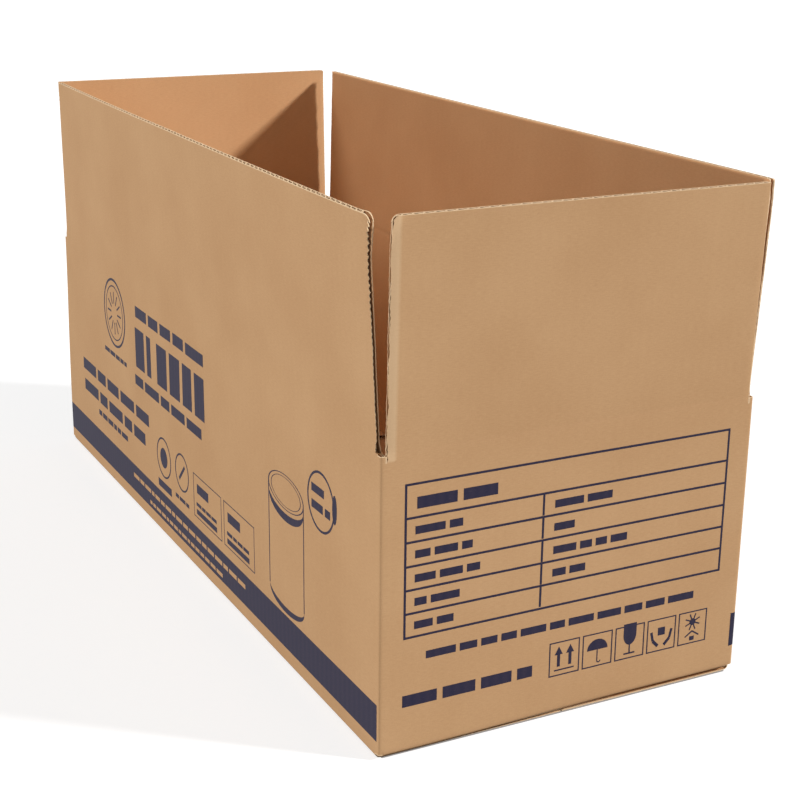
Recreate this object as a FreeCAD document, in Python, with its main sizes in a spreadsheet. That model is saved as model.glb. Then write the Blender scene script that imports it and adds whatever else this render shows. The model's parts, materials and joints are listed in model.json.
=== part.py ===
import FreeCAD, Part
import os
import Sketcher

# Open shipping case folded from one sheet of C-flute corrugated board, in millimetres.
# Long side along X, end walls at plus and minus X, +Z up.
# The origin is at the middle of the underside of the closed bottom.
# The case stands open: its four top flaps are folded up and lean outwards a little.

SIZES = {
    # the box
    "case_length": 708.0,    # outside, over the end walls
    "case_width": 288.0,     # outside, over the long walls
    "inside_height": 200.0,  # inner bottom flaps to the underside of the closed end flaps
    # the board
    "board": 4.0,            # thickness of the C-flute board
    "liner": 0.4,            # thickness of each flat facing
    "flute_pitch": 7.4,      # from one flute to the next
    "medium": 0.5,           # the wavy paper, measured along the row of flutes
    "flute_edge": 2.5,       # plain board left beside the first and last flute
    "crushed": 9.0,          # depth of board that the creasing has pressed flat
    # folds
    "corner_bend": 4.5,      # outside radius of the four upright folds
    "corner_inside": 0.8,    # inside radius of the same folds
    "bottom_bend": 3.6,      # outside radius of the folds under the walls
    "bottom_gap": 0.5,       # between the inner and the outer bottom flaps
    "top_gap": 1.5,          # between a closed end flap and the long flap over it
    "crease_gap": 0.2,       # half the gap left in the mitre of each top crease
    "slot_depth": 1.5,       # how far each slot is cut below the lower crease
    "slot_play": 0.5,        # how far a creased wall top runs past its flap at each end
    # flaps
    "long_set_in": 4.5,      # end of a long flap, in from the outside of the case
    "end_set_in": 4.5,       # edge of an end flap, in from the outside of the case
    "wide_slot": 2.5,        # how much more the front long flap is cut back at its near end
    "meeting_gap": 1.0,      # between the two long flaps where they meet when closed
    "long_lean": 3.0,        # degrees that the long flaps stand out from upright
    "end_lean": 2.0,         # degrees that the end flaps stand out from upright
    # glued joint at one far corner
    "tab_width": 35.0,       # how far the tab runs along the long wall
    "tab_taper": 12.0,       # how much shorter its free edge is at each end
    "tab_clear": 1.5,        # from the bottom flap, and from the closed top flap
}

CUT_PAST = 2.0               # how far a cutting profile runs past the board

doc = FreeCAD.newDocument("BottleShippingCase")
sheet = doc.addObject("Spreadsheet::Sheet", "Sizes")
for row, (name, value) in enumerate(SIZES.items(), start=1):
    sheet.set(f"A{row}", name)
    sheet.set(f"B{row}", str(value))
    sheet.setAlias(f"B{row}", name)
doc.recompute()

# Lengths that follow from the sheet, written as expressions for sketches and pads.
X_OUT = "Sizes.case_length / 2"
Y_OUT = "Sizes.case_width / 2"
BOARD = "Sizes.board"
GAP = "Sizes.crease_gap"
INNER_FLOOR = f"({BOARD} + Sizes.bottom_gap)"
END_CREASE = f"({INNER_FLOOR} + 2 * {BOARD} + Sizes.inside_height)"
LONG_CREASE = f"({END_CREASE} + {BOARD} + Sizes.top_gap)"
SLOT_FLOOR = f"({END_CREASE} - Sizes.slot_depth)"
LONG_HALF_RUN = f"({X_OUT} - Sizes.long_set_in)"
END_HALF_RUN = f"({Y_OUT} - Sizes.end_set_in)"
LONG_FLAP = f"({Y_OUT} - Sizes.meeting_gap / 2)"
END_FLAP = f"({LONG_FLAP} + {LONG_CREASE} - {END_CREASE})"


def origin_plane(body, role):
    """One of the body's own three origin planes."""
    return next(f for f in body.Origin.OriginFeatures if f.Role == role)


def new_body(name):
    body = doc.addObject("PartDesign::Body", name)
    body.Label = name
    return body


def new_sketch(body, name, role, height="0"):
    """A sketch on an origin plane, raised from it by the expression in height."""
    sketch = body.newObject("Sketcher::SketchObject", name)
    sketch.AttachmentSupport = [(origin_plane(body, role), "")]
    sketch.MapMode = "FlatFace"
    sketch.setExpression("AttachmentOffset.Base.z", height)
    return sketch


def tie_point(sketch, line, end, across, up):
    """Hold one end of a line at two expressions, measured from the sketch's origin."""
    for kind, text in (("DistanceX", across), ("DistanceY", up)):
        value = sketch.evalExpression(text)
        value = getattr(value, "Value", value)
        index = sketch.addConstraint(
            Sketcher.Constraint(kind, -1, 1, line, end, float(value)))
        sketch.setExpression(f"Constraints[{index}]", text)


def loop(sketch, corners):
    """A closed outline of straight lines through corners given as pairs of expressions."""
    places = []
    for across, up in corners:
        values = [sketch.evalExpression(text) for text in (across, up)]
        values = [float(getattr(v, "Value", v)) for v in values]
        places.append(FreeCAD.Vector(values[0], values[1], 0))
    first = sketch.GeometryCount
    count = len(places)
    for k in range(count):
        sketch.addGeometry(Part.LineSegment(places[k], places[(k + 1) % count]))
    for k in range(count):
        following = first + (k + 1) % count
        sketch.addConstraint(Sketcher.Constraint("Coincident", first + k, 2, following, 1))
    for k in range(count):
        tie_point(sketch, first + k, 1, *corners[k])


def both_sides(corners):
    """The same outline and its mirror image across the sketch's upright axis."""
    return [corners, [(f"-({across})", up) for across, up in corners]]


def pad(body, name, sketch, length, midplane=False, reverse=False):
    feature = body.newObject("PartDesign::Pad", name)
    feature.Profile = sketch
    feature.Midplane = midplane
    feature.Reversed = reverse
    feature.setExpression("Length", length)
    doc.recompute()
    return feature


def pocket(body, name, sketch, length, midplane=False, reverse=False):
    """A cut, which has to take some board away."""
    before = body.Shape.Volume
    feature = body.newObject("PartDesign::Pocket", name)
    feature.Profile = sketch
    feature.Midplane = midplane
    feature.Reversed = reverse
    feature.setExpression("Length", length)
    doc.recompute()
    if not feature.Shape.Volume < before - 1.0:
        raise RuntimeError(f"{name} cuts nothing")
    return feature


def round_upright_edges(body, name, base, radius, chosen):
    """Round the upright edges of a feature whose place passes the test in chosen."""
    names = []
    for index, edge in enumerate(base.Shape.Edges, start=1):
        box = edge.BoundBox
        upright = box.ZLength > 1.0 and box.XLength < 1e-6 and box.YLength < 1e-6
        if upright and chosen(box.XMin, box.YMin):
            names.append(f"Edge{index}")
    feature = body.newObject("PartDesign::Fillet", name)
    feature.Base = (base, names)
    feature.setExpression("Radius", radius)
    doc.recompute()
    return feature


# The case itself: four walls, the bottom flaps folded shut under them, and the glue tab

def wall_outline():
    """The plan of the four walls, with the open seam of the glued joint at one far corner.

    There the long wall ends square, flush with the end wall, and the fold of the
    glue tab behind it leaves a small notch.
    """
    seam = f"({Y_OUT} - {BOARD})"
    return [
        (f"-{X_OUT}", f"-{Y_OUT}"),
        (X_OUT, f"-{Y_OUT}"),
        (X_OUT, Y_OUT),
        (f"-{X_OUT}", Y_OUT),
        (f"-{X_OUT}", f"-({seam} - Sizes.corner_bend / 2)"),
        (f"-({X_OUT} - Sizes.corner_bend / 2)", f"-{seam}"),
        (f"-{X_OUT}", f"-{seam}"),
    ]


def inside_outline():
    across = f"({X_OUT} - {BOARD})"
    along = f"({Y_OUT} - {BOARD})"
    return [
        (f"-{across}", f"-{along}"),
        (across, f"-{along}"),
        (across, along),
        (f"-{across}", along),
    ]


def make_walls(body):
    plan = new_sketch(body, "WallPlan", "XY_Plane", INNER_FLOOR)
    loop(plan, wall_outline())
    loop(plan, inside_outline())
    walls = pad(body, "Walls", plan, f"{LONG_CREASE} - {GAP} - {INNER_FLOOR}")
    half_length = SIZES["case_length"] / 2
    half_width = SIZES["case_width"] / 2
    near = 0.01

    def folded_corner(x, y):
        at_corner = abs(abs(x) - half_length) < near and abs(abs(y) - half_width) < near
        return at_corner and not (x < 0 and y < 0)

    def inner_corner(x, y):
        inside = SIZES["board"]
        return (abs(abs(x) - half_length + inside) < near
                and abs(abs(y) - half_width + inside) < near)

    outer = round_upright_edges(body, "UprightFolds", walls, "Sizes.corner_bend",
                                folded_corner)
    round_upright_edges(body, "InsideCorners", outer, "Sizes.corner_inside", inner_corner)


def make_outer_bottom_flaps(body):
    """The two long flaps folded flat under the case. They meet along its middle."""
    section = new_sketch(body, "OuterBottomSection", "YZ_Plane")
    profile = [
        (f"-{Y_OUT}", "0"),
        ("-Sizes.meeting_gap / 2", "0"),
        ("-Sizes.meeting_gap / 2", BOARD),
        (f"-({Y_OUT} - {BOARD})", BOARD),
        (f"-({Y_OUT} - {BOARD})", f"{INNER_FLOOR} + {BOARD}"),
        (f"-{Y_OUT}", f"{INNER_FLOOR} + {BOARD}"),
    ]
    for corners in both_sides(profile):
        loop(section, corners)
    pad(body, "OuterBottomFlaps", section, f"2 * {LONG_HALF_RUN}", midplane=True)


def make_inner_bottom_flaps(body):
    """The two short flaps, folded in first, which lie on the long ones."""
    section = new_sketch(body, "InnerBottomSection", "XZ_Plane")
    top = f"{INNER_FLOOR} + {BOARD}"
    profile = [
        (X_OUT, INNER_FLOOR),
        (f"{X_OUT} - {END_FLAP}", INNER_FLOOR),
        (f"{X_OUT} - {END_FLAP}", top),
        (f"{X_OUT} - {BOARD}", top),
        (f"{X_OUT} - {BOARD}", f"{top} + {BOARD}"),
        (X_OUT, f"{top} + {BOARD}"),
    ]
    for corners in both_sides(profile):
        loop(section, corners)
    pad(body, "InnerBottomFlaps", section, f"2 * {END_HALF_RUN}", midplane=True)


def bend_cutter(sketch, side, floor):
    """Outline that leaves a quarter round of bottom_bend under a wall."""
    radius = "Sizes.bottom_bend"
    steps = 4
    arc = []
    for k in range(steps + 1):
        turn = 90.0 * k / steps
        out = f"{side} - {radius} + {radius} * cos({turn})"
        up = f"{floor} + {radius} - {radius} * sin({turn})"
        arc.append((out, up))
    arc.append((f"{side} - {radius}", f"{floor} - {GAP}"))
    arc.append((f"{side} + {CUT_PAST}", f"{floor} - {GAP}"))
    arc.append((f"{side} + {CUT_PAST}", f"{floor} + {radius}"))
    for corners in both_sides(arc):
        loop(sketch, corners)


def bend_bottom_folds(body):
    """Round the board where it turns under the walls."""
    under_ends = new_sketch(body, "EndBend", "XZ_Plane")
    bend_cutter(under_ends, X_OUT, INNER_FLOOR)
    pocket(body, "EndBends", under_ends, f"2 * {Y_OUT} + {CUT_PAST}", midplane=True)
    under_sides = new_sketch(body, "LongBend", "YZ_Plane")
    bend_cutter(under_sides, Y_OUT, "0")
    pocket(body, "LongBends", under_sides, f"2 * {LONG_HALF_RUN}", midplane=True)


def mitre_cutter(sketch, side, crease):
    """Outline that takes the top of a wall down to its crease, at 45 degrees inwards."""
    top = f"{LONG_CREASE} + {CUT_PAST}"
    profile = [
        (f"{side} + {CUT_PAST}", f"{crease} - {GAP} + {CUT_PAST}"),
        (f"{side} - {BOARD} - {CUT_PAST}", f"{crease} - {GAP} - {BOARD} - {CUT_PAST}"),
        (f"{side} - {BOARD} - {CUT_PAST}", top),
        (f"{side} + {CUT_PAST}", top),
    ]
    for corners in both_sides(profile):
        loop(sketch, corners)


def crease_wall_tops(body):
    """Mitre the walls at the four creases and cut the slots between the flaps."""
    long_tops = new_sketch(body, "LongTopSection", "YZ_Plane")
    mitre_cutter(long_tops, Y_OUT, LONG_CREASE)
    pocket(body, "LongTops", long_tops, f"2 * {LONG_HALF_RUN} + 2 * Sizes.slot_play",
           midplane=True)
    end_tops = new_sketch(body, "EndTopSection", "XZ_Plane")
    mitre_cutter(end_tops, X_OUT, END_CREASE)
    pocket(body, "EndTops", end_tops, f"2 * {END_HALF_RUN} + 2 * Sizes.slot_play",
           midplane=True)
    slots = new_sketch(body, "SlotPlan", "XY_Plane", SLOT_FLOOR)
    for y_sign in ("", "-"):
        corner = [
            (LONG_HALF_RUN, f"{y_sign}{END_HALF_RUN}"),
            (f"{X_OUT} + {CUT_PAST}", f"{y_sign}{END_HALF_RUN}"),
            (f"{X_OUT} + {CUT_PAST}", f"{y_sign}({Y_OUT} + {CUT_PAST})"),
            (LONG_HALF_RUN, f"{y_sign}({Y_OUT} + {CUT_PAST})"),
        ]
        for corners in both_sides(corner):
            loop(slots, corners)
    pocket(body, "Slots", slots, f"{LONG_CREASE} - {SLOT_FLOOR} + {CUT_PAST}", reverse=True)


def make_glue_tab(body):
    """The tab that carries on from the far end wall and is glued inside the long wall."""
    face = new_sketch(body, "TabFace", "XZ_Plane", f"{Y_OUT} - {BOARD}")
    root = f"-({X_OUT} - {BOARD} / 2)"
    free = f"-({X_OUT} - {BOARD} - Sizes.tab_width)"
    low = f"{INNER_FLOOR} + {BOARD} + Sizes.tab_clear"
    high = f"{END_CREASE} - {BOARD} - Sizes.tab_clear"
    loop(face, [
        (root, low),
        (free, f"{low} + Sizes.tab_taper"),
        (free, f"{high} - Sizes.tab_taper"),
        (root, high),
    ])
    pad(body, "GlueTab", face, BOARD, reverse=True)


def make_case_body():
    body = new_body("case_body")
    make_walls(body)
    make_outer_bottom_flaps(body)
    make_inner_bottom_flaps(body)
    bend_bottom_folds(body)
    crease_wall_tops(body)
    make_glue_tab(body)
    return body


# The four top flaps: board with its flutes open at the top edge

def flute_pair(sketch, start):
    """The two hollows of one flute, on either side of the wavy paper."""
    pitch = "Sizes.flute_pitch"
    half_wall = "Sizes.medium / 2"
    near_liner = "Sizes.liner"
    far_liner = f"{BOARD} - Sizes.liner"
    paper = "Sizes.medium"
    loop(sketch, [
        (f"{start} + {half_wall}", near_liner),
        (f"{start} + {pitch} - {half_wall}", near_liner),
        (f"{start} + {pitch} / 2", f"{far_liner} - {paper}"),
    ])
    loop(sketch, [
        (f"{start} + {pitch} / 2 + {half_wall}", far_liner),
        (f"{start} + {pitch}", f"{near_liner} + {paper}"),
        (f"{start} + 1.5 * {pitch} - {half_wall}", far_liner),
    ])


def make_top_flap(name, run, flap_length, place):
    """A flap drawn upright over its crease, then placed on its wall.

    Its own X runs along the crease, Y is the way into the case and Z is up the flap.
    The outer face stands over the crease line, and the lower edge is mitred so that
    the flap can fold in to lie flat.
    """
    body = new_body(name)
    section = new_sketch(body, f"{name}_section", "YZ_Plane")
    loop(section, [
        ("0", GAP),
        (BOARD, f"{GAP} + {BOARD}"),
        (BOARD, flap_length),
        ("0", flap_length),
    ])
    pad(body, f"{name}_board", section, run, midplane=True)
    room = f"({run} - 2 * Sizes.flute_edge)"
    flutes = f"floor({room} / Sizes.flute_pitch - 0.5)"
    start = f"(-({flutes} + 0.5) * Sizes.flute_pitch / 2)"
    holes = new_sketch(body, f"{name}_flute_section", "XY_Plane", flap_length)
    flute_pair(holes, start)
    first = pocket(body, f"{name}_flute", holes, f"{flap_length} - Sizes.crushed")
    row = body.newObject("PartDesign::LinearPattern", f"{name}_flutes")
    row.Originals = [first]
    row.Direction = (holes, ["H_Axis"])
    row.setExpression("Occurrences", flutes)
    row.setExpression("Length", f"({flutes} - 1) * Sizes.flute_pitch")
    body.Tip = row
    body.setExpression("Placement", place)
    doc.recompute()
    return body


def place_on_wall(x, y, crease, turn, lean):
    """Expression for a flap's place: turned to face its wall, then leaned outwards."""
    facing = f"rotation(vector(0; 0; 1); {turn})"
    leaning = f"rotation(vector(1; 0; 0); {lean})"
    return f"placement(vector({x}; {y}; {crease}); {facing} * {leaning})"


def make_top_flaps():
    long_lean = "Sizes.long_lean"
    end_lean = "Sizes.end_lean"
    long_run = f"(2 * {LONG_HALF_RUN})"
    front_run = f"({long_run} - Sizes.wide_slot)"
    end_run = f"(2 * {END_HALF_RUN})"
    return [
        make_top_flap("front_long_flap", front_run, LONG_FLAP,
                      place_on_wall("-Sizes.wide_slot / 2", f"-{Y_OUT}", LONG_CREASE, 0,
                                    long_lean)),
        make_top_flap("rear_long_flap", long_run, LONG_FLAP,
                      place_on_wall("0", Y_OUT, LONG_CREASE, 180, long_lean)),
        make_top_flap("near_end_flap", end_run, END_FLAP,
                      place_on_wall(X_OUT, "0", END_CREASE, 90, end_lean)),
        make_top_flap("far_end_flap", end_run, END_FLAP,
                      place_on_wall(f"-{X_OUT}", "0", END_CREASE, -90, end_lean)),
    ]


def write_parts(bodies):
    """Write each piece to its own file, once every object is sound."""
    doc.recompute()
    for item in doc.Objects:
        if "Invalid" in item.State or "Error" in item.State:
            raise RuntimeError(f"{item.Label} did not recompute")
    for body in bodies:
        shape = body.Shape
        if shape.isNull() or not shape.isValid() or len(shape.Solids) != 1:
            raise RuntimeError(f"{body.Label} is not one sound solid")
    os.makedirs("parts", exist_ok=True)
    for body in bodies:
        body.Shape.exportStep(f"parts/{body.Label}.step")


write_parts([make_case_body()] + make_top_flaps())
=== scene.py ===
import json
import math
import bpy
import numpy as np
from mathutils import Matrix, Vector


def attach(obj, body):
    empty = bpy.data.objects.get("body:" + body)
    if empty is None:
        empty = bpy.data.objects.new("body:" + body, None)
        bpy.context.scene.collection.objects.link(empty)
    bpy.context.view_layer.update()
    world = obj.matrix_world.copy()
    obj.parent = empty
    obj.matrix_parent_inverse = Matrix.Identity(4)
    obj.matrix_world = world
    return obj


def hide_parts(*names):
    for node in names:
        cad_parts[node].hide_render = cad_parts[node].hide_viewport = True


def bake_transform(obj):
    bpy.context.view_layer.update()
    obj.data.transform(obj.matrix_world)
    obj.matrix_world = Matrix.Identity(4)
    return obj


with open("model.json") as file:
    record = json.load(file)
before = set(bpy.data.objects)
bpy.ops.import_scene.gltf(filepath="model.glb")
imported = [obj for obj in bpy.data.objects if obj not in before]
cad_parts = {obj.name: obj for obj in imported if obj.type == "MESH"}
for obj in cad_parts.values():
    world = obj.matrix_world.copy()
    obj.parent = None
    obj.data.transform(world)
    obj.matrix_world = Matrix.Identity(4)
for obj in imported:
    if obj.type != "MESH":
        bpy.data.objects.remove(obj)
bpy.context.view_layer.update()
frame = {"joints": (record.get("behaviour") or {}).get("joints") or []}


# The view. The shipping case stands open on a pale floor, with its long side to the left
# of the picture and its end wall to the right, seen from above the near upright fold.
CAMERA_PLACE = Vector((1.17439, -0.55272, 0.54470))
CAMERA_AZIMUTH = math.radians(62.799)
CAMERA_ELEVATION = math.radians(17.914)
CAMERA_ROLL = math.radians(0.645)
LENS_MM = 71.607
SENSOR_MM = 36.0


def camera_turn(azimuth, elevation, roll):
    """Rotation whose back axis points from the object to the camera, rolled about it."""
    back = Vector((math.sin(azimuth) * math.cos(elevation),
                   -math.cos(azimuth) * math.cos(elevation), math.sin(elevation)))
    level = Vector((0, 0, 1)).cross(back).normalized()
    upward = back.cross(level)
    right = math.cos(roll) * level + math.sin(roll) * upward
    up = math.cos(roll) * upward - math.sin(roll) * level
    return Matrix((right, up, back)).transposed()


camera_data = bpy.data.cameras.new("camera")
camera_data.sensor_width = SENSOR_MM
camera_data.lens = LENS_MM
camera_data.clip_end = 100.0
camera = bpy.data.objects.new("camera", camera_data)
camera.matrix_world = (Matrix.Translation(CAMERA_PLACE)
                       @ camera_turn(CAMERA_AZIMUTH, CAMERA_ELEVATION, CAMERA_ROLL).to_4x4())
bpy.context.scene.collection.objects.link(camera)
bpy.context.scene.camera = camera


# The board. It is single-wall C-flute: a wavy paper glued between two flat liners, with
# its flutes running up the walls and the flaps. Each paper is a closed skin of its own.
BOARD = 4.0                  # all board sizes in millimetres
LINER = 0.5
WAVY_PAPER = 0.42
FLUTE_PITCH = 7.4
FLUTE_STEPS = 6              # facets along one flute
PRESSED_LINE = 0.4           # width of the fuzzy line along a cut
SLOPE_THICKENING = 0.35      # so that the wavy paper keeps its thickness on its slopes
SHARP_FOLD = math.radians(35.0)    # faces that meet at more than this look sharp
MM = 0.001


def ease(start, end, value):
    """Smooth step: 0 before start, 1 after end, with level ends (3t^2 - 2t^3 between)."""
    t = np.clip((value - start) / (end - start), 0.0, 1.0)
    return t * t * (3.0 - 2.0 * t)


def uneven(value, pitch, seed):
    """Seeded random values from -1 to 1 at every pitch, joined by smooth steps."""
    knots = np.random.default_rng(seed).uniform(-1.0, 1.0, 4096)
    place = np.asarray(value, float) / pitch + 1000.0
    left = np.floor(place).astype(int)
    part = ease(0.0, 1.0, place - left)
    return knots[left % 4096] * (1.0 - part) + knots[(left + 1) % 4096] * part


def stack(*parts):
    """Coordinates side by side in one array of points, each spread to the same shape."""
    return np.stack(np.broadcast_arrays(*parts), -1)


def skin(front, back, keep, closed=False):
    """Closed skin round a sheet given as two grids of points, front and back.

    Every kept cell has a face on the front and one on the back. Wherever a kept cell has
    no kept neighbour, a wall joins the two grids. Returns points, faces and a mark that
    is 1 for points on a cut edge.
    """
    rows, columns = front.shape[:2]
    grid = np.arange(rows * columns).reshape(rows, columns)
    if closed:
        grid[-1] = grid[0]
    far = grid + rows * columns

    def cells(index, chosen):
        return [index[:-1, :-1][chosen], index[1:, :-1][chosen],
                index[1:, 1:][chosen], index[:-1, 1:][chosen]]

    faces = [np.stack(cells(grid, keep), -1), np.stack(cells(far, keep)[::-1], -1)]
    wide = np.pad(keep, 1)
    if closed:
        wide[0, 1:-1], wide[-1, 1:-1] = keep[-1], keep[0]
    across = wide[1:, 1:-1].astype(int) - wide[:-1, 1:-1]
    along = wide[1:-1, 1:].astype(int) - wide[1:-1, :-1]
    lower, upper = grid[:, :-1], grid[:, 1:]
    far_lower, far_upper = far[:, :-1], far[:, 1:]
    for sign in (-1, 1):
        if closed and not (across[1:-1] == sign).any():
            continue
        at = across == sign
        wall = [lower[at], far_lower[at], far_upper[at], upper[at]][::-sign]
        faces.append(np.stack(wall, -1))
    left, right = grid[:-1], grid[1:]
    far_left, far_right = far[:-1], far[1:]
    for sign in (-1, 1):
        at = along == sign
        wall = [left[at], right[at], far_right[at], far_left[at]][::-sign]
        faces.append(np.stack(wall, -1))
    points = np.concatenate([front.reshape(-1, 3), back.reshape(-1, 3)])
    cut_and_highlight = np.zeros(len(points))
    cut_and_highlight[np.concatenate(faces[2:]).ravel()] = 1.0
    faces = np.concatenate(faces)
    used, places = np.unique(faces, return_inverse=True)
    return points[used], places.reshape(-1, 4), cut_and_highlight[used], used


def make_piece(name, points, faces, blank, cut_and_highlight=None):
    """A mesh object from arrays in millimetres, smooth except across sharp folds.

    blank keeps each point's place on the flat sheet (along, up, depth), in millimetres,
    and the last argument marks the cut edges and a painted highlight strip, for the materials.
    """
    mesh = bpy.data.meshes.new(name)
    mesh.from_pydata(points * MM, [], faces)
    mesh.update()
    mesh.shade_smooth()
    mesh.set_sharp_from_angle(angle=SHARP_FOLD)
    mesh.attributes.new("blank", "FLOAT_VECTOR", "POINT").data.foreach_set(
        "vector", blank.astype(np.float32).ravel())
    if cut_and_highlight is not None:
        mesh.attributes.new("cut_and_highlight_mark", "FLOAT", "POINT").data.foreach_set(
            "value", cut_and_highlight.astype(np.float32))
    piece = bpy.data.objects.new(name, mesh)
    bpy.context.scene.collection.objects.link(piece)
    return piece


def liner_faces(depth):
    """The two faces of a flat paper that starts at the given depth."""
    return lambda q: (depth + 0.0 * q, depth + LINER + 0.0 * q)


def wavy_faces(q):
    """The two faces of the fluted paper: a sine wave that just reaches both liners.

    Half the thickness grows on the slopes with the square root of 1 + 0.35 slope^2.
    """
    middle = BOARD / 2.0
    reach = middle - LINER - WAVY_PAPER / 2.0
    slope = reach * 2.0 * math.pi / FLUTE_PITCH * np.cos(2.0 * math.pi * q / FLUTE_PITCH)
    thick = WAVY_PAPER / 2.0 * np.sqrt(1.0 + SLOPE_THICKENING * slope * slope)
    wave = middle + reach * np.sin(2.0 * math.pi * q / FLUTE_PITCH)
    return wave - thick, wave + thick


# name, faces, and grid step along the sheet of each paper
PLIES = (
    ("outer_liner", liner_faces(0.0), FLUTE_PITCH),
    ("fluting", wavy_faces, FLUTE_PITCH / FLUTE_STEPS),
    ("inner_liner", liner_faces(BOARD - LINER), FLUTE_PITCH),
)


def lines_between(edges, step, close=()):
    """Grid lines at every edge and at even steps between, closer beside each edge."""
    lines = [np.asarray(edges, float)]
    for start, end in zip(edges[:-1], edges[1:]):
        lines.append(np.linspace(start, end, max(2, int(round((end - start) / step)) + 1)))
        for gap in close:
            if end - start > 4.0 * gap:
                lines.append(np.array([start + gap, end - gap]))
    return np.unique(np.round(np.concatenate(lines), 5))


# The folded case: four walls, one sheet folded at four upright creases and glued at a tab
# inside the far front corner, closed below by two short flaps and two long ones under them.
near_crease = next(j for j in frame["joints"] if j["name"] == "near_end_crease")["pos_m"]
rear_crease = next(j for j in frame["joints"] if j["name"] == "rear_long_crease")["pos_m"]
HALF_LENGTH = near_crease[0] / MM
HALF_WIDTH = rear_crease[1] / MM
END_CREASE = near_crease[2] / MM
LONG_CREASE = rear_crease[2] / MM
FOLD_RADIUS = 4.5            # outside of the upright folds
SQUARENESS = 5.0             # exponent of the upright folds; 2 would be round
FOLD_FEET = np.array([3.6, 6.5, 3.6, 3.6])    # heights at which the upright folds end
BOTTOM_RADIUS = 3.6          # outside of the folds under the walls
END_FLOOR = 4.5              # height of the inner bottom flaps' underside
SLOT_FLOOR = END_CREASE - 1.5
HINGE_ROOM = 6.0             # from a top crease down to where its flap's sheet begins
LONG_RUN = HALF_LENGTH - FOLD_RADIUS     # half the straight part of a long wall
END_RUN = HALF_WIDTH - FOLD_RADIUS
BOTTOM_LONG = 143.5          # reach of the outer bottom flaps
BOTTOM_SHORT = 149.0         # and of the inner ones
TAB_WIDTH = 35.0
TAB_TAPER = 12.0             # how far the tab narrows at its top and at its foot
TAB_ENDS = (10.0, 207.0)
FOLD_ARC = FOLD_RADIUS * math.pi / 2.0
BOTTOM_ARC = BOTTOM_RADIUS * math.pi / 2.0

# Legs of the sheet, in order round the case: each straight wall, then the fold after it.
leg_lengths = [HALF_LENGTH + LONG_RUN, FOLD_ARC, 2 * END_RUN, FOLD_ARC, 2 * LONG_RUN,
               FOLD_ARC, 2 * END_RUN - BOARD, FOLD_ARC, TAB_WIDTH + BOARD - FOLD_RADIUS]
leg_turns = np.array([0.0, 1.0] * 4 + [0.0]) / FOLD_RADIUS
leg_start = np.concatenate([[0.0], np.cumsum(leg_lengths)])
leg_heading = np.concatenate([[0.0], np.cumsum(leg_turns * leg_lengths)])[:-1]
leg_point = [np.array([-HALF_LENGTH, -HALF_WIDTH])]
for length, turn, heading in zip(leg_lengths, leg_turns, leg_heading):
    after = heading + turn * length
    step = (np.array([math.sin(after) - math.sin(heading),
                      math.cos(heading) - math.cos(after)]) / turn if turn else
            length * np.array([math.cos(heading), math.sin(heading)]))
    leg_point.append(leg_point[-1] + step)
leg_point = np.array(leg_point)
FRONT, NEAR, REAR, FAR, TAB = 0, 2, 4, 6, 8
FRONT_START = HALF_LENGTH - LONG_RUN     # the tab's fold lies before it

FOLD_PRESS = 0.15            # share of its thickness that the board loses in a bottom fold

# How far each wall stands in at its middle, the far top corner of the front wall, the soft
# dent in that wall, and the small unevenness of every wall.
WALL_BOWS = ((FRONT, -0.9), (NEAR, 0.5), (REAR, 0.8), (FAR, 0.4))
PUSHED_IN = 2.4
DENT_DEPTH, DENT_PLACE, DENT_HALF = 0.8, -20.0, 26.0
UNEVENNESS = 0.22


def leg_at(q):
    """The leg at distance q; a line between a wall and a fold belongs to the wall."""
    below = np.searchsorted(leg_start, q - 1e-4, side="right") - 1
    above = np.searchsorted(leg_start, q + 1e-4, side="right") - 1
    return np.clip(np.where(above % 2 == 0, above, below), 0, 8)


def plan(q, leg=None):
    """Place and outward direction on the outside of the case at distance q round it.

    On a wall the place moves straight on. On a fold it follows a quarter of a squarish
    superellipse: the two outward directions, weighted by powers of cosine and sine.
    With a leg given, that wall's straight line is carried on past its ends.
    """
    if leg is None:
        leg = leg_at(q)
    run = q - leg_start[leg]
    before = leg_heading[leg]
    turned = np.clip(leg_turns[leg] * run, 0.0, math.pi / 2.0)
    ahead = np.where(leg_turns[leg] > 0, np.cos(turned) ** (2.0 / SQUARENESS), 1.0)
    aside = np.where(leg_turns[leg] > 0, np.sin(turned) ** (2.0 / SQUARENESS), 0.0)
    out_x = ahead * np.sin(before) + aside * np.cos(before)
    out_y = aside * np.sin(before) - ahead * np.cos(before)
    straight = np.where(leg_turns[leg] > 0, 0.0, run)
    bent = np.where(leg_turns[leg] > 0, FOLD_RADIUS, 0.0)
    x = leg_point[leg, 0] + straight * np.cos(before) + bent * (out_x - np.sin(before))
    y = leg_point[leg, 1] + straight * np.sin(before) + bent * (out_y + np.cos(before))
    return x, y, out_x, out_y


def pushed_in(up):
    """How far the far top corner of the front wall is pushed in, and the tab behind it."""
    return PUSHED_IN * ease(40.0, LONG_CREASE, up)


def panel_bow(q, up):
    """How far the sheet stands inwards from flat, in millimetres, at a height up.

    Each wall bows a little between its folds (half sine waves), the front wall has a
    soft upright dent and its far top corner is pushed in, and all of it dies out at
    the bottom folds.
    """
    rise = ease(0.0, 70.0, up)
    bow = 0.0 * q * up
    for leg, depth in WALL_BOWS:
        part = np.clip((q - leg_start[leg]) / leg_lengths[leg], 0.0, 1.0)
        bow = bow + depth * np.sin(math.pi * part) * rise
    x = q - HALF_LENGTH
    on_front = q < leg_start[1]
    bow = bow + pushed_in(up) * ease(-170.0, -HALF_LENGTH, x) * on_front
    dent = np.exp(-((x - DENT_PLACE) / DENT_HALF) ** 2) * ease(120.0, 230.0, up)
    bow = bow + DENT_DEPTH * dent * on_front
    return bow + UNEVENNESS * uneven(q, 47.0, 3) * uneven(up, 61.0, 4) * rise


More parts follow.
